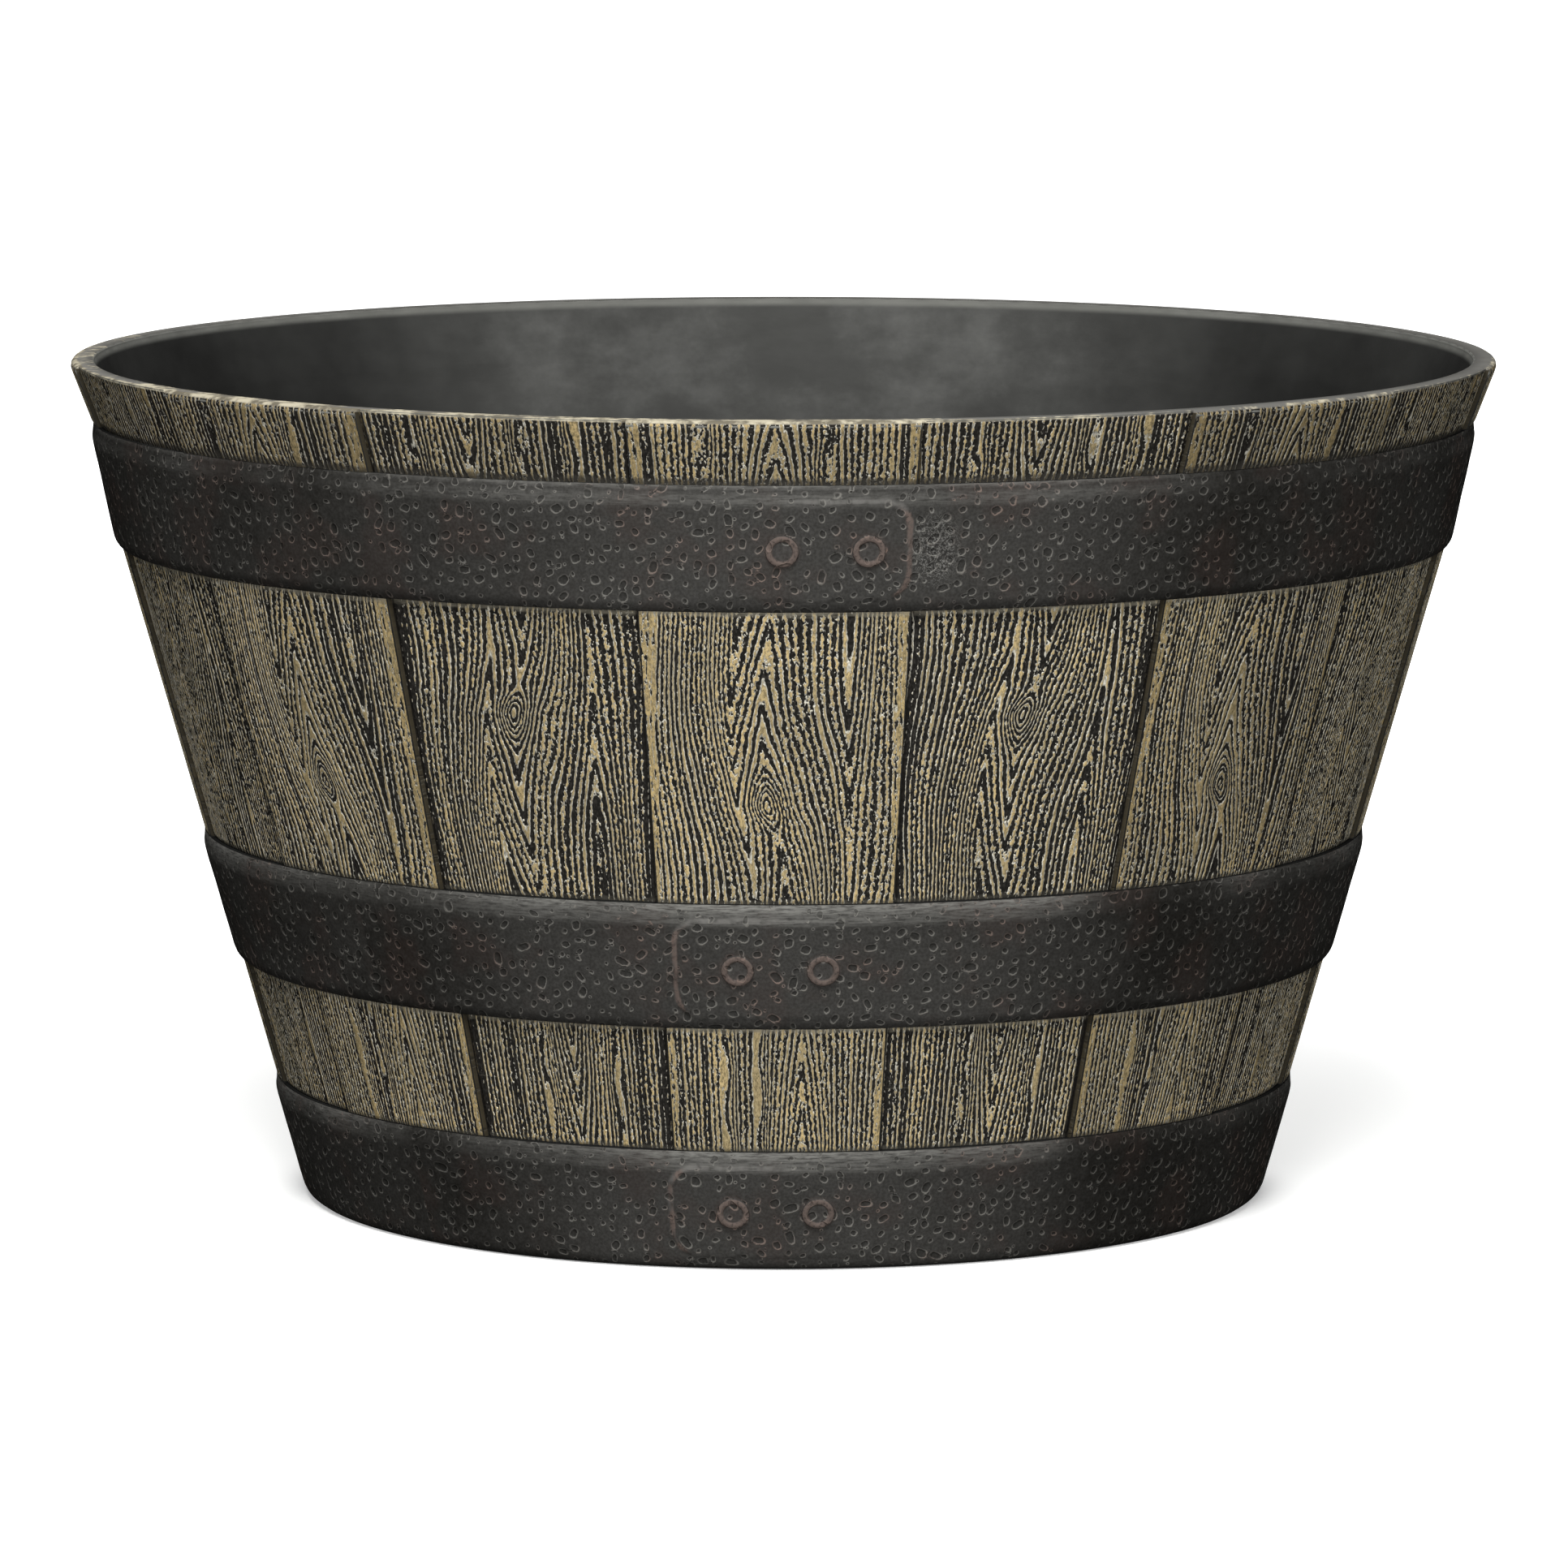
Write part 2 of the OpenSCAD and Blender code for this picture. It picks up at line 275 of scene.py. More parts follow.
class Finish(Nodes):
    """One material: a Principled shader, and nodes added by calls."""

    def __init__(self, name):
        self.material = bpy.data.materials.new(name)
        super().__init__(self.material)
        self.shader = self.tree.nodes.new("ShaderNodeBsdfPrincipled")
        self.node("OutputMaterial", {}, {"Surface": Wire(self, self.shader.outputs[0])}, None)

    def layer(self, name):
        return self.node("Attribute", {"attribute_name": name}, output="Fac")

    def chart(self, name):
        return self.node("UVMap", {"uv_map": name})

    def place(self):
        return self.node("TexCoord", output="Object")

    def parts(self, vector):
        split = self.tree.nodes.new("ShaderNodeSeparateXYZ")
        self.feed(split.inputs[0], vector)
        return [Wire(self, split.outputs[k]) for k in range(3)]

    def vector(self, x, y=0.0, z=0.0):
        return self.node("CombineXYZ", inputs={0: x, 1: y, 2: z})

    def scaled(self, vector, x, y, z):
        return self.node("VectorMath", {"operation": "MULTIPLY"}, {0: vector, 1: (x, y, z)})

    def noise(self, vector, scale, detail, rough, flat=False):
        settings = {"noise_dimensions": "2D" if flat else "3D"}
        inputs = {"Vector": vector, "Scale": scale, "Detail": detail, "Roughness": rough}
        return self.node("TexNoise", settings, inputs)

    def cells(self, vector, scale, output):
        """Cells round scattered points of the plane: the Distance to the nearest, or its Color."""
        settings = {"voronoi_dimensions": "2D", "feature": "F1"}
        return self.node("TexVoronoi", settings, {"Vector": vector, "Scale": scale}, output)

    def chance(self, number, seed):
        """A random number from 0 to 1 for each whole number."""
        vector = self.vector(number, seed)
        return self.node("TexWhiteNoise", {"noise_dimensions": "2D"}, {"Vector": vector}, "Value")

    def mix(self, factor, a, b):
        settings = {"data_type": "RGBA", "blend_type": "MIX"}
        return self.node("Mix", settings, {0: factor, 6: a, 7: b}, 2)

    def relief(self, height, depth, strength):
        """A bump of that height in metres."""
        return self.node("Bump", {}, {"Height": height, "Distance": depth, "Strength": strength})

    def done(self, **sockets):
        """Feeds the shader's sockets, their names written with _ for a space."""
        for name, value in sockets.items():
            self.feed(self.shader.inputs[name.replace("_", " ")], value)
        return self.material


# ------------------------------------------------- finishes; charts are in mm, places in metres

# Heights in metres between which the lip's paint and the rim's paint take over
LIP_FROM, LIP_TO, RIM_FROM, RIM_TO = 0.280, 0.285, 0.3068, 0.3074


def rim_paint_shade_highlight(f, colour, rim, at, out, nick):
    """Lays the rim's paint over a colour: smooth grey with painted shade towards its inner rounded
    edge, cream where it is rubbed, and lighter in front and at the outer corner, worn paint with a
    painted highlight.
    """
    worn = f.layer("rim_wear")
    soft = f.noise(at, 55.0, 3.0, 0.6)
    # The grey is lighter where the rim is worn, which in front is partly a painted highlight
    grey = f.mix(worn, paint(92, 91, 88), paint(114, 112, 107))
    # Painted shade: darker towards the rim's inner rounded edge
    grey = f.mix(out.step(0.2575, 0.2520) * 0.55, grey, paint(58, 58, 56))
    grey = f.mix(soft.step(0.40, 0.65) * 0.30, grey, paint(82, 80, 76))
    colour = f.mix(rim, colour, grey)
    # Cream at the outer corner and where the rim is worn, in front partly a painted highlight
    cream = f.mix((nick + soft).step(0.86, 1.16), paint(104, 98, 84), paint(182, 174, 152))
    rubbed = worn + out.step(0.2572, 0.2594) * 0.5 + (soft - 0.5) * 0.9 + (nick - 0.5) * 0.9
    return f.mix(rubbed.step(0.68, 1.05) * rim * 0.92, colour, cream)


def grain_finish(seed):
    """Moulded wood grain: dark plastic with tan dry-brushed ridges, edged in pale grey.

    A ridge lies where the fraction of the ring number is near one half. Its width is drawn for
    each ring, fine noise roughens its edges, and beads break up the livelier ones.
    """
    f = Finish("stave_grain_%d" % seed)
    u, v, _ = f.parts(f.chart("grain"))
    at = f.place()
    x, y, z = f.parts(at)
    layers = ("rings", "reach", "hem", "proud", "tone")
    rings, reach, hem, proud, tone = (f.layer(k) for k in layers)

    fine = f.noise(f.vector(u / 0.80, v / 1.55), 1.0, 1.0, 0.6, flat=True) - 0.5
    beads = f.noise(f.vector(u / 0.95 + 31.0, v / 1.80), 1.0, 1.5, 0.55, flat=True) - 0.5
    drift = f.noise(f.vector(u / 11.0 + seed * 7.0, v / 38.0), 1.0, 1.0, 0.5, flat=True)
    turn = rings + fine * 0.19
    number = turn.floor()
    draw = f.chance(number, seed)
    wide = draw.line(0.0, 0.75, 0.46, 0.70) + draw.line(0.80, 1.0, 0.0, 0.14)
    wide = wide - draw.line(0.0, 0.12, 0.22, 0.0) - 0.05 - (1 - proud) * 0.08
    lively = (f.chance(number, seed + 0.37) * 0.60 + drift * 1.15).step(0.58, 0.98)
    depth = (wide / 2 - abs(turn - number - 0.5)) * 1.9
    depth = depth + fine * 0.30 + beads * (0.42 + 1.40 * lively)

    # Beside its seams a proud stave has a strip of bare tan; a recessed one has a dark strip, dark
    # paint in the corner together with a painted shadow of the proud stave's step
    ragged = f.noise(f.vector(u / 1.6, v / 6.0), 1.0, 2.0, 0.65, flat=True)
    strip = reach.step(0.3, -0.5) * proud * ragged.step(0.36, 0.5)
    shade = reach.step(0.6, -0.4) * (1 - proud) * z.step(LIP_TO, LIP_FROM)
    depth = depth + strip * 0.55 - shade * 0.30 + f.layer("still") * (0.15 + ragged * 0.6)
    ridge, body = depth.step(0.02, 0.12), depth.step(0.18, 0.34)

    mottle = f.noise(f.vector(u / 22.0 + seed, v / 30.0), 1.0, 3.0, 0.6, flat=True)
    crease = f.noise(f.vector(u / 1.05 + 57.0, v / 1.9), 1.0, 1.0, 0.5, flat=True) - 0.5
    tan = f.mix(mottle.step(0.35, 0.7), paint(163, 147, 111), paint(196, 173, 125))
    tan = f.mix(strip * 0.55, tan, paint(168, 147, 102))
    tan = f.mix(beads.step(-0.2, 0.15), paint(128, 114, 84), tan)
    tan = f.mix(abs(crease).step(0.035, 0.012) * 0.75, tan, paint(96, 88, 66))
    pale = f.mix(fine.step(-0.15, 0.25), paint(156, 153, 142), paint(218, 214, 199))
    dark = f.mix(fine.step(-0.1, 0.2), paint(29, 28, 26), paint(47, 45, 42))
    colour = f.mix(body, f.mix(ridge, dark, pale), tan)

    # The hoops' paint has drifted on to the wood beside them, most of all on the lip; right under a
    # hoop the wood is lightened as painted light over the hoop's shadow
    fog = f.noise(f.vector(u / 9.0, v / 2.4), 1.0, 2.0, 0.6, flat=True)
    on_lip = z.step(LIP_FROM, LIP_TO)
    # Light grey right under a hoop is painted light over its shadow; darker grey above a hoop is
    # overspray
    overspray_and_painted_light = f.mix(hem.step(-0.1, 0.1), paint(150, 144, 128), paint(92, 89, 81))
    overspray_and_painted_light = f.mix(on_lip, overspray_and_painted_light, paint(58, 56, 52))
    near = (abs(hem) - on_lip + (fog - 0.5) * 3.0).step(2.4, -0.2)
    colour = f.mix(near * z.step(LIP_FROM, LIP_TO, 0.72, 0.85), colour, overspray_and_painted_light)
    # Each stave's own paint tone, plus painted shade on the lip, which faces further down than the
    # wall
    colour = f.mix(tone + z.step(LIP_FROM, 0.290) * 0.22, colour, paint(30, 28, 25))
    colour = f.mix(f.layer("flank") * 0.92, colour, paint(54, 50, 41))

    rim = z.step(RIM_FROM, RIM_TO)
    square = x * x + y * y
    nick = f.noise(at, 260.0, 3.0, 0.6)
    colour = rim_paint_shade_highlight(f, colour, rim, at, square.math("POWER", square, 0.5), nick)
    bump = f.relief(depth.step(-0.1, 0.35) * (1 - rim) + nick * 0.12 * rim, 0.00035, 0.8)
    rough = f.node("Mix", {"data_type": "FLOAT"}, {0: ridge, 2: 0.45, 3: 0.66})
    return f.done(Base_Color=colour, Roughness=rough, Normal=bump, Specular_IOR_Level=0.0)


def hammered_finish(name, face, copper_share):
    """Hammered iron look: charcoal face, dark pits with thin worn rims, brown-red rubbing, a
    painted sheen in front, painted highlights on the bevel, the plate's edges and the pits' lower
    right rims, and painted shade on the lower edge.

    The distance from a pit's outline comes from its layers; small dots fill the space between.
    """
    f = Finish(name)
    u, v, _ = f.parts(f.chart("band"))
    pit = ("pit_a", "pit_b", "pit_size", "pit_clear", "pit_lit")
    pit_a, pit_b, size, clear, lit = (f.layer(k) for k in pit)
    layers = ("rub", "bevel", "under", "worn_face", "ledge", "chips")
    rub, bevel, under, worn_face, ledge, chips = (f.layer(k) for k in layers)
    at = f.vector(u, v)
    fine = f.noise(at, 0.9, 2.0, 0.6, flat=True)
    soft = f.noise(at, 0.30, 1.0, 0.5, flat=True)
    cloud = f.noise(at, 0.032, 3.0, 0.55, flat=True)
    streak = f.noise(f.vector(u / 6.0, v / 0.8), 1.0, 3.0, 0.65, flat=True)
    speck = f.noise(at, 0.85, 1.0, 0.5, flat=True)

    a, b = abs(pit_a), abs(pit_b)
    away = a.math("POWER", a, PIT_POWER) + b.math("POWER", b, PIT_POWER)
    away = away.math("POWER", away, 1 / PIT_POWER)
    out = (away - 1) * size + (fine - 0.5) * 0.45 + clear.step(0.55, 0.85) * 3.0
    shown = f.parts(f.cells(at, 0.30, "Color"))[0]
    dots = f.cells(at, 0.30, "Distance") / 0.30 - 0.35 - shown * 0.9
    dots = dots + shown.step(0.07, 0.09) * 3.0
    out = out.smaller(dots + (fine - 0.5) * 0.4) + bevel * soft.step(0.35, 0.6) * 1.6
    hollow = out.step(0.02, -0.30)
    rim = out.step(-0.16, 0.04) * out.step(0.44, 0.17)

    def greys(low, high):
        """The face's paint, low to high levels lighter."""
        ends = (paint(*(c + level for c in face)) for level in (low, high))
        return f.mix(fine.step(0.3, 0.7), *ends)

    # The face is lighter where it is rubbed and, in front, as a painted sheen
    share = (worn_face + (soft - 0.5) * 0.5).larger(0.0).smaller(1.0)
    colour = f.mix(share, greys(-22, -15), greys(1, 11))
    copper = (cloud.step(0.48, 0.68) * copper_share + rub).smaller(1.0)
    colour = f.mix(copper * 0.22, colour, paint(60, 47, 43))
    # Painted highlight on the bevel, broken into streaks, and a soft one along the plate's edges
    colour = f.mix(bevel * streak.step(0.2, 0.7), colour, paint(110, 109, 105))
    colour = f.mix(ledge * soft.step(0.25, 0.6) * 0.5, colour, paint(102, 100, 97))
    colour = f.mix(hollow * 0.34, colour, paint(28, 28, 26))
    worn = f.mix(copper * 0.8, paint(108, 106, 101), paint(112, 91, 82))
    bright = (worn_face * 0.5 + 0.45) * soft.step(0.15, 0.5)
    # Pit rims: worn paint, with a painted highlight on their lower right side, strongest in front
    colour = f.mix(rim * (lit.step(-0.55, 0.65) * 0.62 + 0.28) * bright, colour, worn)
    rubbed = rub.step(0.15, 0.95) * fine.step(0.15, 0.55)
    colour = f.mix(rubbed * 0.85, colour, paint(98, 86, 80))
    squiggles = chips * abs(speck - 0.56).step(0.050, 0.020)
    colour = f.mix(squiggles * 0.55, colour, paint(128, 127, 123))
    colour = f.mix(chips * speck.step(0.44, 0.36) * 0.45, colour, paint(30, 30, 29))
    # Painted shade on the hoop's lower rounded edge
    colour = f.mix(under * 0.6, colour, paint(24, 23, 22))
    height = out.step(-0.55, 0.15) + rim * 0.25 + streak * 0.18 * bevel + fine * 0.06 + soft * 0.25
    return f.done(Base_Color=colour, Roughness=fine.line(0.3, 0.7, 0.46, 0.58),
                  Normal=f.relief(height, 0.00030, 0.7), Specular_IOR_Level=0.0)


def inside_finish():
    """Plain moulded inside and underside: smooth matte dark grey with faint cloudy smudges.

    The wall opposite the front is lighter towards its top, a painted pool of light broken by
    painted highlight streaks, and the whole inside is lighter near the top as painted light; the
    rim's edge is lighter too.
    """
    f = Finish("tub_inside")
    at = f.place()
    x, y, z = f.parts(at)
    square = x * x + y * y + 0.0001
    back = y / square.math("POWER", square, 0.5)
    cloud = f.noise(at, 14.0, 4.0, 0.6)
    grit = f.noise(at, 900.0, 1.0, 0.5)
    streak_noise = f.noise(f.scaled(at, 15.0, 15.0, 17.0), 1.0, 6.0, 0.66)
    wipe = f.noise(f.scaled(at, 60.0, 60.0, 160.0), 1.0, 3.0, 0.6)
    # Painted light: a pool of light high on the wall opposite the front, lighter towards the top
    # all round, with cloudy smudges
    light_pool_and_smudges = (back + (cloud - 0.5) * 0.16).step(0.70, 0.98) * z.step(0.0, 0.24) * 0.68
    light_pool_and_smudges = light_pool_and_smudges + z.line(0.20, 0.31, -0.05, 0.18) + (cloud - 0.5) * 0.75
    colour = f.mix(light_pool_and_smudges.line(0.0, 0.8), paint(35, 35, 34), paint(68, 68, 66))
    # Painted highlight streaks within that pool of light
    highlight_streaks = streak_noise.step(0.44, 0.74) * back.step(0.80, 0.95) * z.step(0.05, 0.24)
    colour = f.mix(highlight_streaks * 0.42, colour, paint(112, 112, 109))
    colour = f.mix(wipe.step(0.35, 0.7) * 0.12, colour, paint(24, 24, 23))
    edge = z.step(0.3044, 0.3066) * wipe.line(0.3, 0.7, 0.62, 0.92)
    colour = f.mix(edge, colour, paint(112, 112, 107))
    bump = f.relief(grit + cloud * 2.0, 0.00006, 0.5)
    return f.done(Base_Color=colour, Roughness=cloud.line(0.2, 0.8, 0.60, 0.72),
                  Normal=bump, Specular_IOR_Level=0.0)


def rubber_finish():
    """Matt black rubber with a fine moulded tooth and dusty high spots."""
    f = Finish("plug_rubber")
    at = f.place()
    tooth = f.noise(at, 1400.0, 2.0, 0.6)
    dust = f.noise(at, 120.0, 3.0, 0.6)
    colour = f.mix(dust.step(0.5, 0.75) * 0.4, paint(30, 30, 31), paint(66, 64, 61))
    bump = f.relief(tooth + dust, 0.00008, 0.6)
    return f.done(Base_Color=colour, Roughness=dust.line(0.2, 0.8, 0.62, 0.82),
                  Normal=bump, Specular_IOR_Level=0.15)


# ------------------------------------------------- stave skins

STAVE_W = 2 * np.pi / STAVES * wall_r(188.0)


def eye_rings(u, w):
    """Ring number of the eye figure at u across and w above the eye, both in mm.

    Rings climb along the middle column, dip round the eye, fold back at a column on each side,
    and run straight near the edges. The columns sway, the edges don't.
    """
    sway = np.interp(w, [-40, -23, -8, 0, 26, 45, 66, 90], [5, 3.5, 0, -2.9, -4.8, -4, -1.4, 0])
    x = u - sway * np.exp(-((u / 19) ** 2))
    left = 12 + 0.8 * np.sin(w / 17.0)
    right = 26 + 0.8 * np.sin(w / 23.0 + 2)
    far = np.abs(x)
    spread = 0.40 * np.sqrt(x * x + 1.2) + 0.12 * soft_ramp(far - 6, 2.5)
    fold = spread - 1.03 * (soft_ramp(x - right, 1.1) + soft_ramp(-x - left, 1.1))
    climb = np.where(w > 0, 0.072, 0.080) * w
    side = 2.3 * np.tanh((w - 24) / 24.0)
    near = np.exp(-((x / 13) ** 2))
    wide = np.where(u > 0, 1 - smooth(u, 25, 44), 1 - smooth(-u, 14, 42))
    eye = 3.9 * np.exp(-((x / 5.4) ** 2) - np.where(w > 0, w / 8.5, w / 6.0) ** 2)
    return fold + near * climb + (wide - near * wide) * side - eye


def arrow_rings(u, w, main, small, rise, spread):
    """Ring number of arrow heads stacked on a main column, straight lines beside them, and small
    heads on other columns."""
    rings = 0.47 * np.sqrt((u - main) ** 2 + 1.1) + rise * w * np.exp(-(((u - main) / spread) ** 2))
    for k, c in enumerate(small):
        rings = rings + (1.0 + 0.35 * np.sin(w / 5.0 + 2 * k)) * np.exp(-(((u - c) / 2.4) ** 2))
    return rings


def stave_rings(u, z, upside_down, seed):
    """Ring number over a whole stave: the eye figure in the tall band, arrow heads below and above
    it, and noise of three sizes."""
    if upside_down:
        tall = eye_rings(u, 202.0 - z)
        low = arrow_rings(u, 66 - z, 4, (-8, 21), 0.075, 10)
        lip = arrow_rings(u, 296 - z, -7, (-25, 9, 27), 0.085, 8)
    else:
        tall = eye_rings(u, z - 171.0)
        low = arrow_rings(u, z - 66, 10.6, (-19, -6), 0.0625, 13)
        lip = arrow_rings(u, z - 292, 0.5, (-20, 15), 0.10, 8)
    rings = np.where(z < FIGURE_FROM, low, np.where(z < FIGURE_TO, tall, lip))
    rings = rings + 0.22 * value_noise(u / 8.0, z / 46.0, seed)
    rings = rings + 0.13 * value_noise(u / 3.4, z / 17.0 + 9, seed + 1)
    return rings + 0.12 * value_noise(u / 1.5, z / 4.0 + 3, seed + 2)


def stave_patch(index, z, r, cap):
    """One stretch of a stave's skin, as fields over rows of points and columns from seam to seam.

    A column's offset from the wall follows the seam groove and the rounded or dipped edge, then the
    rings' relief. Rows follow heights z with wall radii r; cap is 1 on rows where the grain shows
    and 0 where the skin dips to hide its border or turns over the rim. Gives the place across from
    the left seam, the same from the middle line, the height, the distance from the nearer seam, the
    ring number, how nearly the rings stand still, and the offset.
    """
    recessed = index % 2 == 0
    if recessed:
        groove = -STEP - GROOVE_D + 0.08
        edge_x = np.array([-0.25, 0.70, 1.34, 1.75, 2.3])
        edge_o = np.array([groove, groove, -STEP + 0.04, -STEP + 0.10, -STEP + 0.08])
    else:
        edge_x = np.array([0.22, 0.23, 0.28, 0.48, 0.85, 1.3])
        edge_o = np.array([-2.5, -1.0, -0.42, -0.10, 0.03, 0.06])
    level = -STEP if recessed else 0.0
    inner = np.linspace(0, 1, 206)[1:-1]
    width = np.radians(STAVE_DEG) * r[:, None]
    x_left = np.broadcast_to(edge_x, (len(z), len(edge_x)))
    x_mid = edge_x[-1] + inner * (width - 2 * edge_x[-1])
    x = np.concatenate([x_left, x_mid, width - x_left[:, ::-1]], 1)
    off = np.concatenate([edge_o, np.full(len(inner), level + 0.06), edge_o[::-1]])
    nearest = np.minimum(x, width - x)
    u = (x - width / 2) * (STAVE_W / width)
    height = held(z, x.shape)
    rings = stave_rings(u, height, recessed, 20 + 5 * (index // 2 % 3) + 100 * recessed)
    slope = np.abs(np.gradient(rings, axis=1) / np.maximum(np.gradient(x, axis=1), 0.05))
    swell = 0.5 - 0.5 * np.cos(2 * np.pi * rings)
    # Rings that crowd together stay paint, as their relief would be too fine for the mesh
    amount = GRAIN_DEPTH * smooth(nearest, 2.2, 4.5) * (1 - smooth(slope, 0.7, 1.1)) * cap[:, None]
    # Where the rings stand nearly still the ridge is broad, less so in the tall band
    tall = (height > FIGURE_FROM) & (height < FIGURE_TO)
    still = (1 - smooth(slope, 0.04, 0.22)) * np.where(tall, 0.25, 1.0)
    return x, u, height, nearest, rings, still, off + amount * swell


def rim_rows(limit):
    """Radii and heights of the rows over the rim: round its outer corner, across its flat top, and
    round its inner edge.

    No point stands out further than the lip's straight line plus its column's limit, so the seams
    run up to the top.
    """
    corner, inner = np.radians([22.5, 45, 67.5, 90]), np.radians([40, 90])
    inner_r = RIM_R - RIM_W + INNER_ROUND
    r = np.concatenate([
        RIM_R - RIM_ROUND + RIM_ROUND * np.cos(corner),
        np.linspace(RIM_R - RIM_ROUND - 0.6, inner_r, 6),
        inner_r - INNER_ROUND * np.sin(inner),
    ])
    z = np.concatenate([
        CORNER_Z + RIM_ROUND * np.sin(corner),
        np.full(6, TUB_H),
        TUB_H - INNER_ROUND + INNER_ROUND * np.cos(inner),
    ])
    lip_line = LIP_R + (z - LIP_Z) * np.tan(LIP_LEAN)
    top = z > TUB_H - 0.9
    r = np.minimum(r[:, None], lip_line[:, None] + limit) + np.where(top, 0.0, 0.05)[:, None]
    return r, z + np.where(top, 0.05, 0.02)


# How far each stave's paint is darkened, from the stave right of the front one round to the front
TONES = (0.02, 0.24, 0.14, 0.04, 0.08, 0.02, 0.10, 0.03,
         0.07, 0.0, 0.09, 0.04, 0.18, 0.20, 0.11, 0.03)
GROOVE_TONE = 0.62

# Width of the tan strip, or of the dark one on a recessed stave (dark paint with a painted shadow
# of the step), along the left and the right seam
STRIPS = {0: (4.0, 3.4), 1: (3.8, 1.6), 3: (0.0, 3.2), 11: (3.0, 0.0),
          12: (3.0, 4.2), 13: (0.0, 4.6), 14: (3.8, 4.6), 15: (4.4, 3.6)}
USUAL_STRIPS = (3.4, 3.2)

# How far the paint is rubbed off the rim at angles from the front; the peak in front is partly a
# painted highlight
RIM_KNOTS = (-180, -150, -120, -90, -70, -58, -45, -15, 2, 9, 16, 30, 60, 90, 120, 150, 180)
RIM_WEAR_HIGHLIGHT = (0.40, 0.30, 0.55, 0.75, 0.72, 0.88, 0.95, 1.00, 1.08, 0.90,
            0.50, 0.34, 0.32, 0.30, 0.25, 0.35, 0.40)

# A stave's stretches between the hoops: bottom, top, rows of points, and share of the baked map
STRETCHES = (
    (LOWER_TOP, MIDDLE_Z, 36, (0.004, 0.262)),
    (MIDDLE_TOP, KNEE_Z, 80, (0.272, 0.842)),
    (LIP_Z, CORNER_Z, 18, (0.852, 0.996)),
)


def build_stave(index, finish):
    """Skin of one stave in three stretches, the last of them the lip with the rim's top.

    Layers on its points: the ring number, how nearly it stands still, reach (distance past the
    seam's strip), hem (distance from a hoop, negative under one), proud, tone, flank and rim_wear.
    """
    recessed = index % 2 == 0
    level = -STEP if recessed else 0.0
    points, faces, layers, charts = [], [], [], []
    for low, high, rows, share in STRETCHES:
        z = np.concatenate([[low], np.linspace(low + 0.4, high - 0.4, rows), [high]])
        is_lip = low == LIP_Z
        if is_lip:
            r = LIP_R + (z - LIP_Z) * np.tan(LIP_LEAN)
            cap = smooth(z - low, 0.4, 1.6) * smooth(high + 0.3 - z, 0.0, 1.2)
        else:
            r = wall_r(z)
            cap = smooth(np.minimum(z - low, high - z), 0.4, 1.6)
        x, u, skin_z, nearest, ring, still, offset = stave_patch(index, z, r, cap)
        turns, skin_r = x / r[:, None], r[:, None] + offset
        if is_lip:
            over_r, over_z = rim_rows(offset[-1] - 0.06)
            extra = len(over_z)
            skin_r = np.concatenate([skin_r[:-1], over_r])
            skin_z = np.concatenate([skin_z[:-1], held(over_z, over_r.shape)])
            fields = (turns, u, nearest, ring, still)
            turns, u, nearest, ring, still = (carried(field, extra) for field in fields)
            length = np.concatenate([z[:-1], high + np.arange(1, extra + 1) * 0.9])
            hem = length - low
        else:
            length = z
            hem = np.where(z - low < high - z, z - low, z - high)
            for row in (0, -1):
                skin_r[row] = r[row] + np.minimum(offset[row], level) - 0.4
        shape = skin_r.shape
        angle = SEAM_START + STAVE_DEG * index + np.degrees(turns)
        along = held(length, shape)
        wide = np.where(u < 0, *STRIPS.get(index, USUAL_STRIPS))
        swing = 1.3 * value_noise(along / 13.0, np.sign(u) * 3.3 + 5, 700 + index)
        grown = np.where(wide > 0, wide * (0.72 + 0.5 * smooth(along, 135, 241)) + swing, -4.0)
        tone = np.where(offset[0] < level - 0.35, GROOVE_TONE, TONES[index])
        flank = (offset[0] < -0.35) & (not recessed)
        # Rim wear, lighter in front partly as a painted highlight
        wear = by_angle(angle, RIM_KNOTS, RIM_WEAR_HIGHLIGHT) + 0.12 * value_noise(angle / 5.0, 0 * angle, 41)
        faces.append(grid_faces(*shape, first=sum(map(len, points))))
        points.append(turned(angle, skin_r, skin_z).reshape(-1, 3))
        layers.append({
            "rings": ring, "reach": nearest - grown, "hem": held(hem, shape),
            "proud": np.full(shape, 0.0 if recessed else 1.0), "tone": np.broadcast_to(tone, shape),
            "still": still, "flank": np.broadcast_to(flank, shape), "rim_wear": wear,
        })
        baked = (length - length[0]) / (length[-1] - length[0])
        baked = share[0] + baked * (share[1] - share[0])
        columns = np.linspace(0.004, 0.996, shape[1])
        charts.append({"grain": np.stack([u, along], -1),
                       "OFBake": np.stack(np.meshgrid(columns, baked), -1)})
    return mesh_piece("stave_%02d" % (index + 1), np.concatenate(points), np.concatenate(faces),
                      finish, joined(layers), joined(charts))


# ------------------------------------------------- hammered hoops


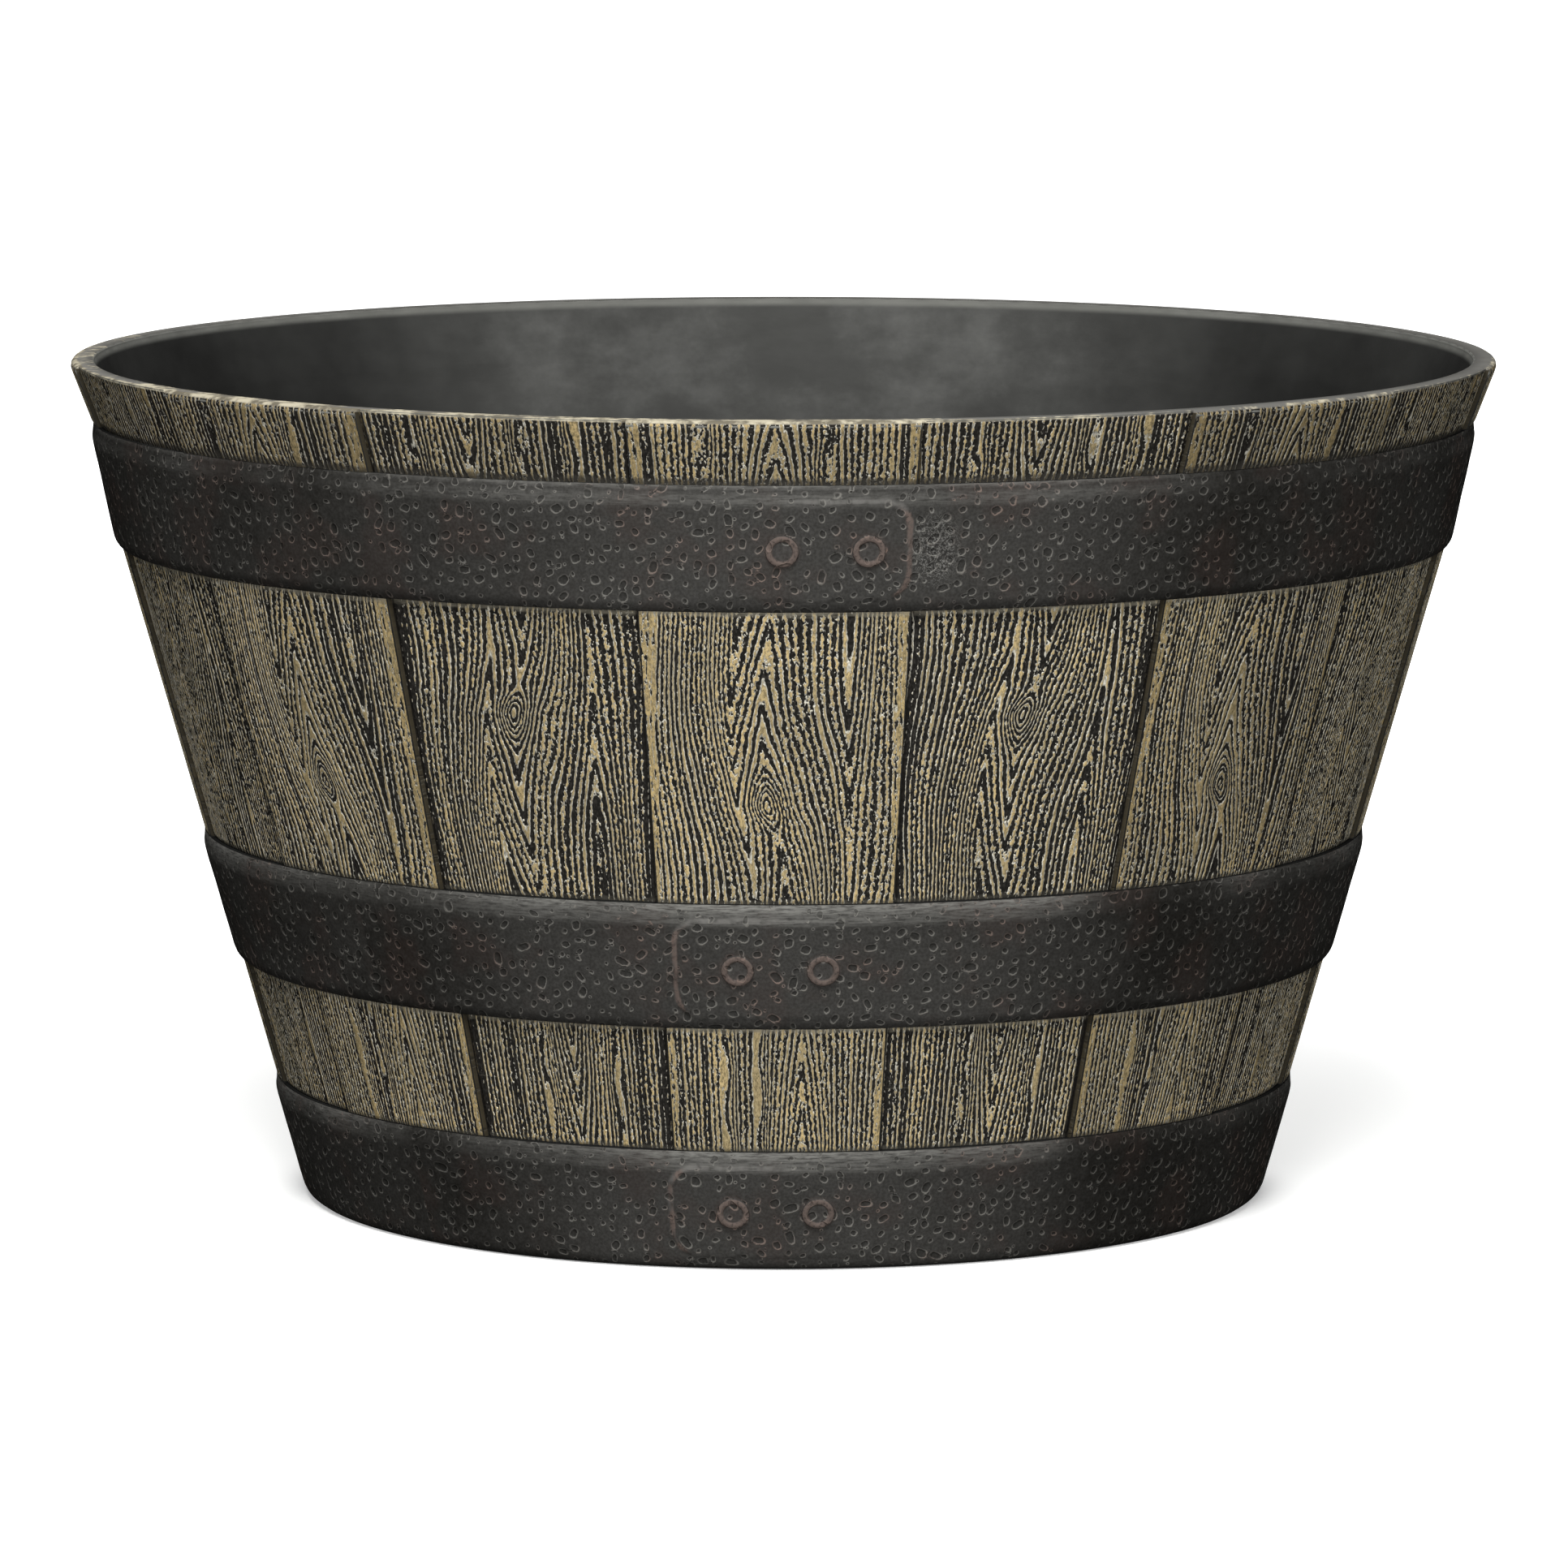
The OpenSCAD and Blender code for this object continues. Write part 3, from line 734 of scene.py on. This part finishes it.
class Band:
    """Where a hoop lies on the wall's cone, with its lap and the angles of its two rivets.

    The lapping plate ends at the angle lap_at; side is 1 where that end points right, -1 left.
    """

    def __init__(self, name, z0, height, lean, lap_at, side):
        self.name, self.z0, self.h, self.lean, self.side = name, z0, height, lean, side
        self.upper, self.lower = name == "upper_hoop", name == "lower_hoop"
        self.mid_z = z0 + height / 2 * np.cos(lean)
        self.foot_r, self.mid_r = self.cone_r(z0), self.cone_r(self.mid_z)
        half_lap = np.degrees(LAP_L / self.mid_r) / 2
        self.lap_mid = lap_at - side * half_lap
        self.lap_swing = (LAP_THICK - LAP_THIN) / 2 / np.sin(np.radians(half_lap))
        inset = 14.2 if self.upper else 22.0
        steps = (inset, inset + RIVET_GAP)
        self.rivets = [lap_at - side * np.degrees(step / self.mid_r) for step in steps]

    def cone_r(self, z):
        """Radius of the cone behind this hoop at height z."""
        if self.upper:
            return KNEE_R + (z - KNEE_Z) * np.tan(BAND_LEAN)
        return FOOT_R + z * np.tan(WALL_LEAN)

    def climb(self, angle):
        """How far the lapping plate stands on the band at an angle.

        Its face is a cone set off the axis, so it climbs as a sine from thin to thick.
        """
        swing = self.side * self.lap_swing * np.sin(np.radians(angle - self.lap_mid))
        return (LAP_THICK + LAP_THIN) / 2 + swing * np.cos(self.lean)


def pits(s, t, round_mm, seed):
    """The nearest hammer pit to each point at arc length s and height t, as layers.

    One pit lies in each cell of a brick pattern, shifted as far as its size allows, so that pits
    don't merge; the plane is warped a little first. pit_a and pit_b are the point's place in the
    pit's own turned frame, in pit radii, pit_size is the pit's size, pit_clear the distance from
    its outline, and pit_lit how far the point lies on the pit's lower right side, where the rim is
    given a painted highlight. s closes after round_mm.
    """
    ring = 2 * np.pi * s / round_mm
    turn = round_mm / (2 * np.pi)
    across, down = turn * np.sin(ring), turn * np.cos(ring)
    warp = 1.3 * value_noise(across / 11 + down / 7, t / 11.0, seed + 7)
    s, t = (s + (warp + 0.5 * value_noise(s / 4.0, t / 4.0, seed + 8)),
            t + 1.2 * value_noise(across / 7 - down / 11, t / 9.0 + 5, seed + 9))
    columns = 2 * int(round(round_mm / PIT_COLUMN))
    cell = round_mm / columns
    rng = np.random.default_rng(seed)
    shape = (columns, 64)
    size = 0.45 + 0.95 * rng.uniform(0, 1, shape) ** 1.2
    stretch = rng.uniform(1.0, 1.65, shape)
    slack = np.clip(0.5 - (size * stretch + 0.3) / cell, 0.03, 0.5)
    jx, jy = rng.uniform(-1, 1, shape) * slack, rng.uniform(-1, 1, shape) * slack
    lean = rng.uniform(0, np.pi, shape)
    missing = rng.uniform(0, 1, shape) < 0.05
    none, far = np.zeros(s.shape), np.full(s.shape, 9.0)
    best = {"pit_a": none, "pit_b": none, "pit_size": none + 1, "pit_clear": far, "pit_lit": none}
    ci = np.floor(s / cell).astype(int)
    for di in (-1, 0, 1):
        i = ci + di
        shift = (i % 2) * 0.5
        cj = np.floor(t / PIT_ROW - shift).astype(int)
        for dj in (-1, 0, 1):
            k = i % columns, np.clip(cj + dj + 8, 0, 63)
            x = s - (i + 0.5 + jx[k]) * cell
            y = t - (cj + dj + 0.5 + shift + jy[k]) * PIT_ROW
            c, n = np.cos(lean[k]), np.sin(lean[k])
            a = (c * x + n * y) / (size[k] * stretch[k])
            b = (c * y - n * x) / size[k]
            away = (np.abs(a) ** PIT_POWER + np.abs(b) ** PIT_POWER) ** (1 / PIT_POWER)
            clear = (away - 1) * size[k] + 9.0 * missing[k]
            nearer = clear < best["pit_clear"]
            lit = (0.45 * x - 0.89 * y) / np.hypot(x, y).clip(0.05)
            for key, value in zip(best, (a, b, size[k], clear, lit)):
                best[key] = np.where(nearer, value, best[key])
    return best


def hoop_section(h):
    """A hoop's section as heights t up the wall and distances o out from it.

    It runs from the back round the lower edge, up the face, over the bevel, which starts as a
    parabola, and back to its start, so that the side against the wall is closed too.
    """
    low, bend = np.radians(np.linspace(-90, 0, 8)), np.linspace(0, 1, 6)
    t = ([0], ROUND_H + ROUND_H * np.sin(low), np.linspace(ROUND_H, h - BEVEL_H, 36)[1:-1],
         h - BEVEL_H * (1 - bend / 2), [h - BEVEL_H / 4, h, h, 0])
    o = ([HOOP_GAP], HOOP_FACE - ROUND_D + ROUND_D * np.cos(low), np.full(34, HOOP_FACE),
         HOOP_FACE - BEVEL_D * bend**2 / 3,
         [HOOP_FACE - BEVEL_D * 2 / 3, HOOP_FACE - BEVEL_D, HOOP_GAP, HOOP_GAP])
    return np.concatenate(t), np.concatenate(o)


def plate_depth(along, middle, h):
    """Signed distance inside the lapping plate, a rectangle with two rounded corners at its end.

    along runs from the plate's middle towards its end, middle is the distance from its middle line.
    """
    half_w, end = h / 2 - PLATE_MARGIN, LAP_L / 2
    qx, qy = middle - (half_w - PLATE_CORNER), along - (end - PLATE_CORNER)
    rounded = PLATE_CORNER - np.hypot(np.maximum(qx, 0), np.maximum(qy, 0))
    rounded = rounded - np.minimum(np.maximum(qx, qy), 0)
    return np.minimum(np.minimum(rounded, half_w - middle), along + end)


# How light a hoop's face is painted: most in front as a painted sheen, and in a few rubbed places
# round it
FACE_KNOTS = (-180, -150, -118, -85, -60, -40, -24, -8, 8, 22, 38, 60, 85, 120, 150, 180)
FACE_WEAR_SHEEN = (0.55, 0.85, 0.45, 0.65, 0.50, 0.20, 0.66, 1.0,
             1.0, 0.76, 0.05, 0.38, 0.6, 0.4, 0.8, 0.55)


def hoop_wear(band, a, t, s, along, plate, seed):
    """Layers of a hoop's rubbed paint, painted sheen, painted highlights and painted shade, from 0
    to 1.

    Taken at angles a, heights t, arc lengths s, distances along the plate and depths inside it.
    """
    h = band.h
    middle = np.abs(t - h / 2)
    # Lighter in front as a painted sheen, and in a few rubbed places round the hoop
    face = by_angle(a, FACE_KNOTS, FACE_WEAR_SHEEN) + 0.18 * value_noise(s / 30.0, t / 22.0, seed + 13)
    # Copper shows along the plate's end, and round each rivet
    end = (1 - smooth(np.abs(plate - 0.4), 0.4, 1.5)) * smooth(along, 18, 33)
    end = end * (1 - smooth(middle, 12, 19))
    rub = np.clip(end * (0.90 + 0.8 * value_noise(s / 3.0, t / 3.4, seed + 11)), 0, 1)
    for rivet_at in band.rivets:
        away = np.hypot((a - rivet_at) * np.pi / 180 * band.mid_r, middle)
        rub = np.maximum(rub, 0.34 * (1 - smooth(away, 5.8, 7.6)))
    # A painted highlight with some grey paint lies along the bevel's two edges, towards the front
    # only, and a soft painted highlight along the plate's edges, stronger on the upper one
    if band.upper:
        bevel = 0.32 * smooth(t, h - 8.0, h - 6.0) * (1 - smooth(t, h - 3.4, h - 2.2))
        bevel = bevel + 0.6 * smooth(t, h - 1.3, h - 0.6)
    else:
        bevel = 0.5 * smooth(t, h - 8.0, h - 6.0) + 0.5 * smooth(t, h - 3.0, h - 1.8)
    bevel = bevel * np.clip((face - 0.2) * 1.25, 0, 1) * (0.85 if band.lower else 1.0)
    ledge = (1 - smooth(np.abs(plate - 0.2), 0.3, 1.3)) * smooth(along, -12, 10)
    ledge = ledge * np.where(t > h / 2, 1.0, 0.45)
    # The lower rounded edge, which faces down, is darkened as painted shade; beside the upper
    # hoop's lap the paint is chipped
    under = (1 - smooth(t, 2.6, 4.8)) * (0.15 if band.lower else 0.55) * smooth(t, 0.2, 1.4)
    chips = 1 - smooth(np.hypot((along - 45) / 11, (t - h / 2) / 17), 0.35, 1.0)
    return {"rub": rub, "bevel": bevel, "under": under, "worn_face": face, "ledge": ledge,
            "chips": chips * band.upper}


def build_hoop(band, seed, finish):
    """One hoop in four arcs: the CAD's section and lapping plate, hammer pits and low waves."""
    h, lean = band.h, band.lean
    t_part, o_part = hoop_section(h)
    outer_r = band.mid_r + HOOP_FACE
    # The baked map gives each row a little room, so that rows at one height stay apart
    v = t_part / h * 0.9 + np.linspace(0, 0.1, len(t_part))
    v[-1] = v[-2] + 0.005
    for number, side in enumerate(SIDES):
        angle = np.linspace(number * 90 - 45, number * 90 + 45, 421)
        a, t = np.meshgrid(angle, t_part)
        s = np.radians(a) * outer_r
        along = (a - band.lap_mid) * np.pi / 180 * band.mid_r * band.side
        plate = plate_depth(along, np.abs(t - h / 2), h)
        # The plate lies on the band and follows its section, so its edges fall as the band's do
        fall = np.interp(t, t_part[1:-2], HOOP_FACE - o_part[1:-2])
        lift = np.clip(band.climb(a) + fall, 0, None) * smooth(plate, -0.25, 0.55)
        o = held(o_part, t.shape) + np.where((t > 0.3) & (t < h - 0.3), lift, 0)
        pit = pits(s, t, 2 * np.pi * outer_r, seed)
        bevelled = smooth(t, h - BEVEL_H + 0.5, h - BEVEL_H + 3)
        dent = PIT_DEPTH * (1 - smooth(pit["pit_clear"], -0.55, 0.30)) * (1 - 0.6 * bevelled)
        waves = WAVE_DEPTH * value_noise(s / 9.0, t / 9.0, seed + 3)
        scrape = SCRAPE_DEPTH * value_noise(s / 6.0, t / 1.6, seed + 5) * bevelled
        quiet = smooth(t, 0.8, 3.0) * smooth(h - t, 0.5, 4.0)
        front = (t > 0) & (o > HOOP_GAP + 0.2)
        o = o + np.where(front, (waves + scrape - dent) * quiet, 0)
        r = band.foot_r + t * np.sin(lean) + o * np.cos(lean)
        z = band.z0 + t * np.cos(lean) - o * np.sin(lean)
        columns = np.linspace(0.004, 0.996, len(angle))
        mesh = mesh_piece(
            "%s_%s" % (band.name, side), turned(a, r, z), grid_faces(*t.shape), finish,
            {**pit, **hoop_wear(band, a, t, s, along, plate, seed)},
            {"band": np.stack([s, t], -1),
             "OFBake": np.stack(np.meshgrid(columns, 0.01 + 0.97 * v), -1)},
            own=t[:-1].size,
        )
        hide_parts(band.name)


# ------------------------------------------------- rivets


def build_rivet(name, band, angle, seed, finish):
    """A rivet turned about the wall's normal: shank, rounded ring, dished middle, a few pits.

    The first and the last ring of points are closed by a lid of strips.
    """
    ring = np.radians(np.linspace(0, 180, 15))
    outer = ring < np.pi / 2
    radius = np.concatenate([
        [SHANK_R, SHANK_R, HEAD_R, HEAD_R],
        HEAD_R - RING_R + RING_R * np.cos(ring),
        np.linspace(HEAD_R - 2 * RING_R, 0.1, 14)[1:],
    ])
    height = np.concatenate([
        [-2.0, -0.5, -0.5, 0.0],
        np.where(outer, 0.65 + 0.65 * np.sin(ring), DISH_H + 0.6 * np.sin(ring)),
        np.full(13, DISH_H),
    ])
    steps = 72
    turn = np.radians(np.linspace(0, 360, steps + 1))[:-1]
    radii, turns = np.meshgrid(radius, turn, indexing="ij")
    x, y = radii * np.cos(turns), radii * np.sin(turns)
    up = held(height, radii.shape)
    pit = pits(x + 40 + seed * 13, y + 30, 6000.0, seed)
    dent = 0.25 * (1 - smooth(pit["pit_clear"], -0.55, 0.3))
    wobble = 0.12 * value_noise(x / 2.2 + 9, y / 2.2 + 5, seed)
    up = up + np.where(up > 0.1, wobble - dent, 0)
    # From the wall's own directions, out and up the slope, to the frame
    out = HOOP_FACE + band.climb(angle) + up + 0.025
    cos, sin = np.cos(band.lean), np.sin(band.lean)
    r = band.mid_r + out * cos + y * sin
    z = band.mid_z - out * sin + y * cos
    a = np.radians(angle)
    points = np.stack([r * np.sin(a) + x * np.cos(a), -r * np.cos(a) + x * np.sin(a), z], -1)
    half = np.arange(steps // 2 - 1)
    lid = np.stack([half, half + 1, steps - 2 - half, steps - 1 - half], -1)
    sides = grid_faces(len(radius), steps, around=True)
    quads = np.concatenate([sides, lid[:, ::-1], lid + radii.size - steps])
    raised = smooth(radii, 3.0, 3.9) * (1 - smooth(radii, 5.5, 5.75))
    piece = mesh_piece(
        name + "_head", points, quads, finish,
        {**pit, "rub": 0.75 * raised, "worn_face": np.full(x.shape, 0.9)},
        {"band": np.stack([x + seed * 31, y], -1),
         "OFBake": np.stack([0.5 + x / 12.6, 0.5 + y / 12.6], -1)},
    )
    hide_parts(name)


# ------------------------------------------------- inside of the tub


def build_liner(finish):
    """Smooth inner wall in four arcs: the inner line of the tub's section turned about the axis,
    a small gap inside it."""
    inner_foot = float(wall_r(FLOOR_TOP + FLOOR_ROUND)) - WALL_X
    bend, top = np.radians(np.linspace(-90, 0, 12)), TUB_H - INNER_ROUND
    r = np.concatenate([inner_foot - FLOOR_ROUND + FLOOR_ROUND * np.cos(bend),
                        [KNEE_R - WALL_X, LIP_R - RIM_W, RIM_R - RIM_W]])
    z = np.concatenate([FLOOR_TOP + FLOOR_ROUND + FLOOR_ROUND * np.sin(bend), [KNEE_Z, LIP_Z, top]])
    walk = np.concatenate([[0], np.cumsum(np.hypot(np.diff(r), np.diff(z)))])
    even = np.unique(np.concatenate([walk, np.arange(0, walk[-1], 6.0)]))
    r, z = np.interp(even, walk, r), np.interp(even, walk, z)
    r = r - LINER_GAP * smooth(top - z, 0, 3) * smooth(even, 0, 3)
    z = z + LINER_GAP * (1 - smooth(even, 0, 24)) * smooth(even, 0, 2)
    baked = np.stack(np.meshgrid(np.linspace(0.01, 0.99, 91), 0.01 + 0.98 * even / even[-1]), -1)
    for number, side in enumerate(SIDES):
        a, zz = np.meshgrid(np.linspace(number * 90 - 45, number * 90 + 45, 91), z)
        mesh_piece("inner_wall_" + side, turned(a, held(r, a.shape), zz),
                   grid_faces(*a.shape)[:, ::-1], finish, charts={"OFBake": baked})


# ------------------------------------------------- putting it together

inside, rubber = inside_finish(), rubber_finish()
hammered = hammered_finish("hoop_hammered", (50, 49, 47), 0.8)
rubbed = hammered_finish("rivet_rubbed", (56, 54, 52), 1.0)
grains = [grain_finish(k) for k in (1, 2, 3)]

kept_nodes = {"tub": inside, "front_left_plug": rubber, "front_right_plug": rubber,
              "rear_left_plug": rubber, "rear_right_plug": rubber}
for node, finish in kept_nodes.items():
    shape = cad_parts[node]
    shape.data.materials.clear()
    shape.data.materials.append(finish)

for index in range(STAVES):
    build_stave(index, grains[index % 3])

bands = (
    Band("upper_hoop", KNEE_Z, UPPER_H, BAND_LEAN, 10.0, 1),
    Band("middle_hoop", MIDDLE_Z, MIDDLE_H, WALL_LEAN, -10.5, -1),
    Band("lower_hoop", LOWER_Z, LOWER_H, WALL_LEAN, -12.5, -1),
)
for number, band in enumerate(bands):
    build_hoop(band, 300 + 20 * number, hammered)
    for nth, angle in enumerate(band.rivets):
        end = "right" if (nth == 0) == band.upper else "left"
        name = band.name.replace("hoop", "rivet_" + end)
        build_rivet(name, band, angle, 400 + 10 * number + nth, rubbed)

build_liner(inside)

# ------------------------------------------------- floor, light and camera


def build_stage():
    """A flat pale floor, wide enough to fill the view; the camera sees it lifted to white, with the
    shadow left."""
    f = Finish("floor_paper")
    seen = f.seen()
    away = f.node("VectorMath", {"operation": "LENGTH"}, {0: f.place()}, "Value")
    lift = f.mix(away.step(0.25, 0.75), (0.35, 0.35, 0.35, 1), (1, 1, 1, 1))
    f.done(Base_Color=f.mix(seen, paint(118, 118, 116), paint(236, 236, 234)), Roughness=0.9,
           Specular_IOR_Level=0.0, Emission_Color=f.mix(seen, (0, 0, 0, 1), lift),
           Emission_Strength=1.0)
    x, y = np.meshgrid(*[np.linspace(-14000, 14000, 9)] * 2)
    points = np.stack([x, y, np.full(x.shape, -0.3)], -1)
    floor = mesh_piece("floor", points, grid_faces(9, 9), f.material, body=None)


def build_world():
    """White to the camera and in reflections, a soft grey as light."""
    world = bpy.data.worlds.new("studio")
    bpy.context.scene.world = world
    n = Nodes(world)
    light = n.node("Background", {}, {"Color": (0.9, 0.95, 1.0, 1), "Strength": 0.12})
    white = n.node("Background", {}, {"Color": (1, 1, 1, 1)})
    mixed = n.node("MixShader", {}, {0: n.seen(), 1: light, 2: white})
    n.node("OutputWorld", {}, {"Surface": mixed}, None)


def soft_light(name, place, size, power):
    """A square soft box at a place, turned to the middle of the tub."""
    lamp = bpy.data.lights.new(name, "AREA")
    lamp.shape, lamp.size, lamp.energy = "SQUARE", size, power
    box = bpy.data.objects.new(name, lamp)
    bpy.context.scene.collection.objects.link(box)
    box.location = place
    aim = Vector((0, 0, 0.15)) - Vector(place)
    box.rotation_euler = aim.to_track_quat("-Z", "Y").to_euler()


build_stage()
build_world()
soft_light("high_softbox", (-0.25, -2.4, 2.8), 1.4, 150)
soft_light("front_softbox", (0.3, -4.2, 0.9), 1.8, 112)
soft_light("rear_softbox", (0.25, 3.0, 2.3), 1.6, 95)

# Fitted to the photograph: 3.5 m in front of the tub, looking down by 7.6 degrees
lens = bpy.data.cameras.new("product_camera")
lens.lens, lens.sensor_width = 220.0, 36.0
lens.clip_start, lens.clip_end = 0.1, 50.0
camera = bpy.data.objects.new("product_camera", lens)
bpy.context.scene.collection.objects.link(camera)
camera.location = (0.00018, -3.5, 0.6163)
camera.rotation_euler = (np.radians(82.3997), 0.0, 0.0)
bpy.context.scene.camera = camera
bpy.context.scene.view_settings.view_transform = "Standard"
